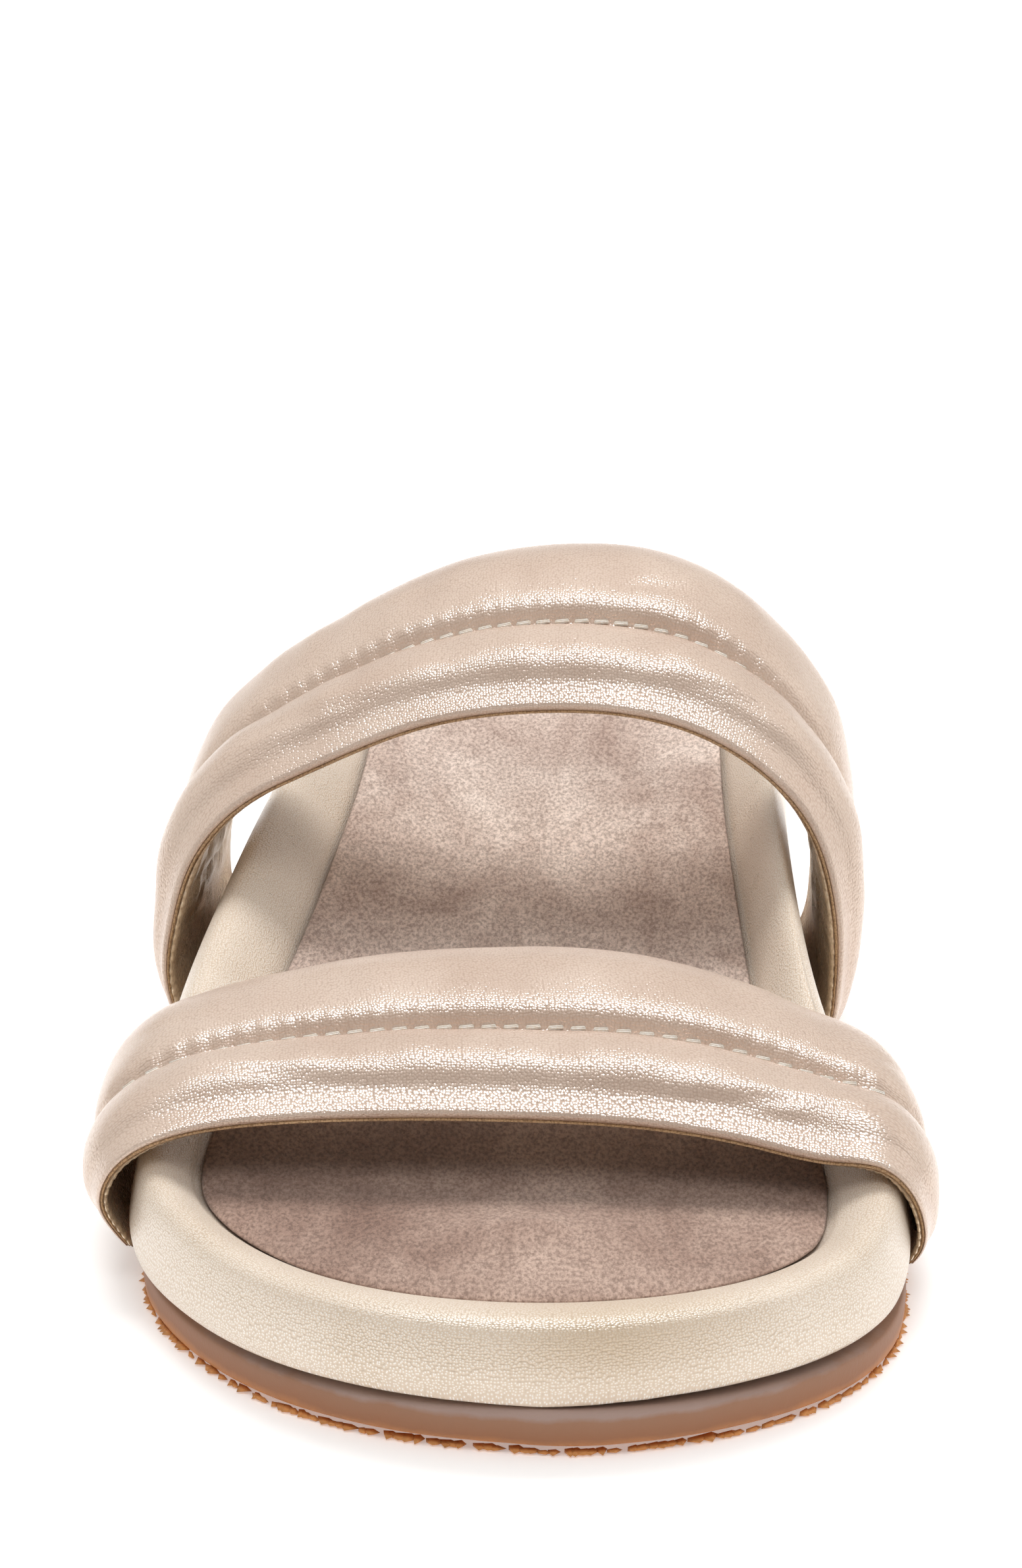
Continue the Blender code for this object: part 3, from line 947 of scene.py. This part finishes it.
def strap_points(strap, along, across, lift):
    """Points over the lining by a lift in metres, along the lining's outward direction."""
    centre, pad, seat = lining_points(strap, along, across)
    ahead = lining_points(strap, np.clip(along + NUDGE, 0, 1), across)[0]
    behind = lining_points(strap, np.clip(along - NUDGE, 0, 1), across)[0]
    wider = lining_points(strap, along, across + NUDGE)[0]
    narrower = lining_points(strap, along, across - NUDGE)[0]
    outward = np.cross(ahead - behind, wider - narrower)
    outward[..., 2] *= 1 - np.clip(seat, 0, 1)
    outward /= np.linalg.norm(outward, axis=-1)[..., None]
    return centre + outward * lift[..., None]


def strap_length(strap):
    """Length of a strap along the middle of its lining."""
    along = np.linspace(0, 1, 400)
    line = lining_points(strap, along, np.full(400, 0.5))[0]
    return np.linalg.norm(np.diff(line, axis=0), axis=1).sum()


for name, strap in (("front", FRONT), ("rear", REAR)):
    strap["length"] = strap_length(strap)
    print(f"{name} strap runs {strap['length'] / MM:.0f} mm")

# %% [markdown]
# A padded strap could be a pillow blown up by simulation, but its two rolls, its turned lip
# and its stitched channel are too crisp for that. So its section is drawn: up the lip, over
# the front roll, down into the channel, over the rear roll, and back underneath.

# %% Section of a strap
SECTION = (
    # turn round the section, across the strap, padding as a share, extra lift in mm
    (0.000, 0.015, 0.000, 0.00),
    (0.012, 0.004, 0.000, 0.03),
    (0.024, -0.002, 0.050, 0.12),
    (0.036, 0.002, 0.135, 0.14),
    (0.052, 0.018, 0.205, 0.10),
    (0.075, 0.045, 0.300, 0.00),
    (0.105, 0.076, 0.400, 0.00),
    (0.128, 0.095, 0.510, 0.00),
    (0.152, 0.114, 0.650, 0.00),
    (0.182, 0.148, 0.800, 0.00),
    (0.225, 0.215, 0.895, 0.00),
    (0.280, 0.310, 0.845, 0.00),
    (0.330, 0.385, 0.625, 0.00),
    (0.365, 0.431, 0.420, 0.00),
    (0.383, 0.449, 0.345, 0.00),
    (0.399, 0.462, 0.390, 0.00),
    (0.430, 0.487, 0.610, 0.00),
    (0.465, 0.528, 0.775, 0.00),
    (0.505, 0.610, 0.865, 0.00),
    (0.550, 0.718, 0.890, 0.00),
    (0.610, 0.830, 0.770, 0.00),
    (0.665, 0.925, 0.520, 0.00),
    (0.705, 0.975, 0.290, 0.00),
    (0.735, 0.997, 0.110, 0.00),
    (0.760, 0.990, 0.000, 0.00),
    (0.880, 0.500, 0.000, 0.00),
    (1.000, 0.015, 0.000, 0.00),
)
CHANNEL = 0.45
STITCH_PITCH = 2.95 * MM
LINING_THICKNESS = 0.8 * MM
thickest = max(share for _, _, share, _ in SECTION) * PAD + LINING_THICKNESS
print(f"a strap is up to {thickest / MM:.1f} mm thick")

# %% [markdown]
# Covers and plies all start as a flat grid, like a piece of leather on the bench. Its points
# are set round the section and along the arch, its long edges are joined, and its ends are
# closed. A UV map laid out in metres keeps the leather's grain the same size all over.


# %% Sleeves from grids
ALONG_STEPS = 340
AROUND_STEPS = 130


def grid_coordinates(piece):
    """Where each vertex of a fresh grid lies, from 0 to 1 along and around."""
    flat = points_of(piece)
    return flat[:, 0] + 0.5, flat[:, 1] + 0.5


def new_grid(name, along_steps, around_steps, finish):
    """Flat grid primitive of unit size with a finish."""
    bpy.ops.object.select_all(action="DESELECT")
    bpy.ops.mesh.primitive_grid_add(x_subdivisions=along_steps, y_subdivisions=around_steps, size=1)
    piece = bpy.context.object
    piece.name = name
    piece.data.name = name
    piece.data.materials.append(finish)
    return piece


def close_sleeve(piece):
    """Joins the edges of a rolled grid, closes its ends and turns its faces outwards."""
    in_edit_mode(
        piece,
        lambda: bpy.ops.mesh.remove_doubles(threshold=1e-6),
        lambda: bpy.ops.mesh.fill_holes(sides=0),
        lambda: bpy.ops.mesh.normals_make_consistent(inside=False),
    )
    only(piece)
    bpy.ops.object.shade_smooth_by_angle(angle=math.radians(60))
    report(piece)


def unroll(piece, strap, along, turn):
    """UV map in metres: the run along the strap, and the arc round its middle section."""
    middle = np.abs(along - 0.5) < 0.5 / ALONG_STEPS
    order = np.argsort(turn[middle])
    section = points_of(piece)[middle][order]
    arc = np.concatenate([[0], np.cumsum(np.linalg.norm(np.diff(section, axis=0), axis=1))])
    flat = np.stack([along * strap["length"], np.interp(turn, turn[middle][order], arc)], axis=-1)
    corners = np.empty(len(piece.data.loops), int)
    piece.data.loops.foreach_get("vertex_index", corners)
    layer = piece.data.uv_layers[0]
    layer.name = "unrolled"
    layer.data.foreach_set("uv", flat[corners].ravel())


# %% [markdown]
# Padding under leather is never even. It has slow waves, it is pulled down at each stitch,
# and it puckers beside them. Sculpting would not repeat at the stitches' pitch, so the relief
# is a sum of waves and soft humps. Creases come from a short table, a row for each fold.


# %% Relief of the padding
WAVES = (
    # height in mm, length in mm, turns of the strap's own phase, phase across the strap
    (0.20, 27.0, 1, 2.1),
    (0.13, 13.5, 2, 5.0),
    (0.06, 7.3, 0, -4.1),
)


def bell(value, centre, width):
    """Soft hump of height 1 at a centre."""
    return np.exp(-(((value - centre) / width) ** 2))


def padding_relief(strap, along, across, creases):
    """Relief of the padding in metres: slow waves, puckers at the stitches, and creases."""
    run = along * strap["length"]
    waves = 0.0
    for height, length, turns, slant in WAVES:
        phase = turns * strap["phase"] + slant * across
        waves = waves + height * np.sin(2 * np.pi * run / (length * MM) + phase)
    rolls = bell(across, 0.24, 0.13) + bell(across, 0.72, 0.15)
    stitch = np.cos(2 * np.pi * run / STITCH_PITCH)
    pull = -0.20 * (0.5 + 0.5 * stitch) * bell(across, CHANNEL, 0.022)
    pucker = -0.11 * stitch * bell(across, CHANNEL + 0.036, 0.026)
    pucker -= 0.03 * stitch * bell(across, CHANNEL - 0.05, 0.03)
    relief = waves * rolls + pull + pucker
    for where, level, slope, length, width, depth in creases:
        from_crease = run / strap["length"] - where
        off = (across - level - slope * from_crease) * TOP_WIDTH / (width * MM)
        reach = bell(from_crease * strap["length"], 0, length * MM)
        relief += reach * (-depth * np.exp(-(off**2)) + 0.4 * depth * np.exp(-((off - 1.8) ** 2)))
    return relief * MM


UNDERSIDE_FROM = 0.76


def padded_cover(name, strap, creases):
    """Outer leather of a strap over its padding."""
    piece = new_grid(name, ALONG_STEPS, AROUND_STEPS, strap_leather)
    along, turn = grid_coordinates(piece)
    rows = np.array(SECTION)
    across, share, extra = smooth(rows[:, 0], rows[:, 1:], turn).T
    on_top = np.clip((UNDERSIDE_FROM - turn) / 0.03, 0, 1)
    pad = lining_points(strap, along, across)[1]
    lift = LINING_THICKNESS + np.clip(share, 0, None) * pad * PAD + extra * MM * pad
    lift += padding_relief(strap, along, across, creases) * on_top * np.clip(pad * 1.3, 0, 1)
    move_points(piece, strap_points(strap, along, across, lift))
    unroll(piece, strap, along, turn)
    close_sleeve(piece)
    return piece


# %% [markdown]
# The photograph shows most folds where a strap turns down towards the sole, and near the lip.
# Each is a row: where it lies along and across, how it slants, and how long, wide and deep it
# is. Cloth simulation would put them in other places.

# %% Padded covers
FRONT["phase"] = 0.4
REAR["phase"] = 2.2
FRONT_CREASES = (
    # along, across, slope, length mm, width mm, depth mm
    (0.800, 0.10, 0.55, 6.0, 0.8, 0.22),
    (0.775, 0.14, 0.60, 5.0, 0.7, 0.20),
    (0.745, 0.12, 0.40, 5.0, 0.8, 0.18),
    (0.825, 0.15, 0.90, 5.0, 0.7, 0.18),
    (0.700, 0.09, 0.30, 6.0, 0.7, 0.14),
    (0.330, 0.10, -0.30, 7.0, 0.8, 0.16),
    (0.270, 0.13, -0.50, 6.0, 0.8, 0.16),
    (0.220, 0.17, -0.80, 5.0, 0.9, 0.16),
    (0.550, 0.11, 0.10, 9.0, 0.8, 0.10),
    (0.860, 0.60, 1.00, 5.0, 1.0, 0.16),
    (0.180, 0.62, -1.00, 6.0, 1.0, 0.16),
)
REAR_CREASES = (
    # along, across, slope, length mm, width mm, depth mm
    (0.240, 0.12, -0.40, 7.0, 0.8, 0.18),
    (0.290, 0.16, -0.50, 8.0, 0.9, 0.18),
    (0.350, 0.12, -0.30, 8.0, 0.8, 0.14),
    (0.680, 0.12, 0.40, 7.0, 0.8, 0.16),
    (0.730, 0.15, 0.60, 6.0, 0.8, 0.18),
    (0.790, 0.12, 0.70, 6.0, 0.8, 0.16),
    (0.640, 0.62, 0.80, 6.0, 1.1, 0.20),
    (0.400, 0.66, -0.60, 7.0, 1.1, 0.16),
)
front_cover = padded_cover("front_strap_cover", FRONT, FRONT_CREASES)
rear_cover = padded_cover("rear_strap_cover", REAR, REAR_CREASES)

# %% [markdown]
# Under the cover lie two thin plies. The tan one shows as the raw edge of the strap, and the
# lining against the foot is a soft gold leather that crinkles where the strap bends. Its
# edge was cut with pinking shears, which shows in the gaps beside the footbed. A Solidify
# modifier would give a wall of even thickness, but the crinkles are on one side only, so each
# ply is a thin closed sleeve of its own.


# %% Plies under the covers
PLY_STEPS = 44
PLY_TURNS = (0.00, 0.02, 0.48, 0.52, 0.98, 1.00)
PINKING_PITCH = 1.3 * MM


def thin_ply(name, strap, finish, low, high, edges, wave, pinking, showing):
    """Thin closed layer of a strap, crinkled, pinked, and showing in front of the feet."""
    piece = new_grid(name, ALONG_STEPS * 2, PLY_STEPS, finish)
    along, turn = grid_coordinates(piece)
    share = np.interp(turn, PLY_TURNS, (0, 0, 1, 1, 0, 0))
    level = np.interp(turn, PLY_TURNS, (0.5, 1, 1, 0, 0, 0.5))
    run = along * strap["length"]
    feet = bell(along, 0, 0.16) + bell(along, 1, 0.16)
    teeth = pinking * (np.abs((run / PINKING_PITCH) % 1 - 0.5) * 2 - 0.5)
    start = edges[0] + (teeth - showing) * feet / FOOT_WIDTH
    across = start + (edges[1] - start) * share
    crinkle = np.abs(np.sin(np.pi * run / (4.6 * MM) + 5 * across))
    crinkle += 0.7 * np.abs(np.sin(np.pi * run / (7.7 * MM) - 8 * across))
    crinkle += 0.4 * np.sin(2 * np.pi * across * FOOT_WIDTH / (5.2 * MM) + run / (5 * MM))
    inside = np.clip(np.sin(np.pi * share), 0, 1) ** 0.5
    free = bell(along, 0.11, 0.055) + bell(along, 0.89, 0.055)
    slack = wave * crinkle * inside * (0.25 + free) + 2 * wave * free * inside
    lift = low + (high - low) * level - (1 - level) * slack
    move_points(piece, strap_points(strap, along, across, lift))
    close_sleeve(piece)
    return piece


plies = {}
for name, strap in (("front_strap", FRONT), ("rear_strap", REAR)):
    plies[name] = (
        thin_ply(
            name + "_edge",
            strap,
            raw_edge,
            low=0.42 * MM,
            high=0.78 * MM,
            edges=(-0.004, 0.996),
            wave=0.0,
            pinking=0.0,
            showing=0.0,
        ),
        thin_ply(
            name + "_lining",
            strap,
            lining_leather,
            low=0.0,
            high=0.38 * MM,
            edges=(0.030, 0.985),
            wave=0.30 * MM,
            pinking=0.45 * MM,
            showing=1.9 * MM,
        ),
    )

# %% [markdown]
# One row of stitches holds the channel between the rolls. A dashed texture would lie flat in
# the channel, but real stitches stand up and catch light. One stitch is modelled: a thin
# cylinder whose ends are rounded by a bevel. It is copied along the channel at the pitch of
# the photograph, and each copy is arched and a little slanted.


# %% Stitches
STITCH_LINE = 0.455
STITCH_RADIUS = 0.31 * MM
STITCH_LENGTH = 1.95 * MM
STITCH_LIFT = 0.24 * MM
STITCH_ARCH = 0.28
STITCH_SLANT = 0.16
CHANNEL_PADDING = 0.40


def model_stitch():
    """One stitch of thread, lying along X."""
    bpy.ops.object.select_all(action="DESELECT")
    bpy.ops.mesh.primitive_cylinder_add(
        vertices=8, radius=STITCH_RADIUS, depth=STITCH_LENGTH, rotation=(0, math.pi / 2, 0)
    )
    stitch = bpy.context.object
    bpy.ops.object.transform_apply(location=False, rotation=True, scale=False)
    in_edit_mode(stitch, lambda: bpy.ops.mesh.bevel(offset=0.20 * MM, segments=3))
    return stitch


def stitch_row(name, strap, finish):
    """Stitches along the channel of a strap, as one piece."""
    stitch = model_stitch()
    arched = points_of(stitch)
    arched[:, 2] -= (arched[:, 0] / MM) ** 2 * STITCH_ARCH * MM
    places = []
    for number in range(2, int(strap["length"] / STITCH_PITCH) - 3):
        along = (number + 0.5) * STITCH_PITCH / strap["length"]
        at = np.array([along, along + 0.002, along])
        level = np.array([STITCH_LINE, STITCH_LINE, STITCH_LINE + 0.01])
        pad = lining_points(strap, at[:1], level[:1])[1]
        lift = np.full(3, LINING_THICKNESS + CHANNEL_PADDING * pad[0] * PAD + STITCH_LIFT)
        here, ahead, aside = strap_points(strap, at, level, lift)
        forward = (ahead - here) / np.linalg.norm(ahead - here)
        outward = np.cross(forward, aside - here)
        outward /= np.linalg.norm(outward)
        sideways = np.cross(outward, forward)
        forward = forward * math.cos(STITCH_SLANT) + sideways * math.sin(STITCH_SLANT)
        sideways = np.cross(outward, forward)
        places.append(here + arched @ np.array([forward, sideways, outward]))
    return joined_copies(stitch, places, name, finish)


stitches = {
    "front_strap": stitch_row("front_strap_stitches", FRONT, thread),
    "rear_strap": stitch_row("rear_strap_stitches", REAR, thread),
}

# %% [markdown]
# Last, every piece rides on the one body. The solids themselves stay, hidden, because they
# carry the sandal's weight and contacts.

# %% Pieces on the body
for piece, node in ((outsole, "outsole"), (footbed, "midsole"), (insole, "insole")):
    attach(piece, "root")
    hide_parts(node)
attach(teeth_row, "root")
for cover, node in ((front_cover, "front_strap"), (rear_cover, "rear_strap")):
    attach(cover, "root")
    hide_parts(node)
    for piece in (*plies[node], stitches[node]):
        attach(piece, "root")
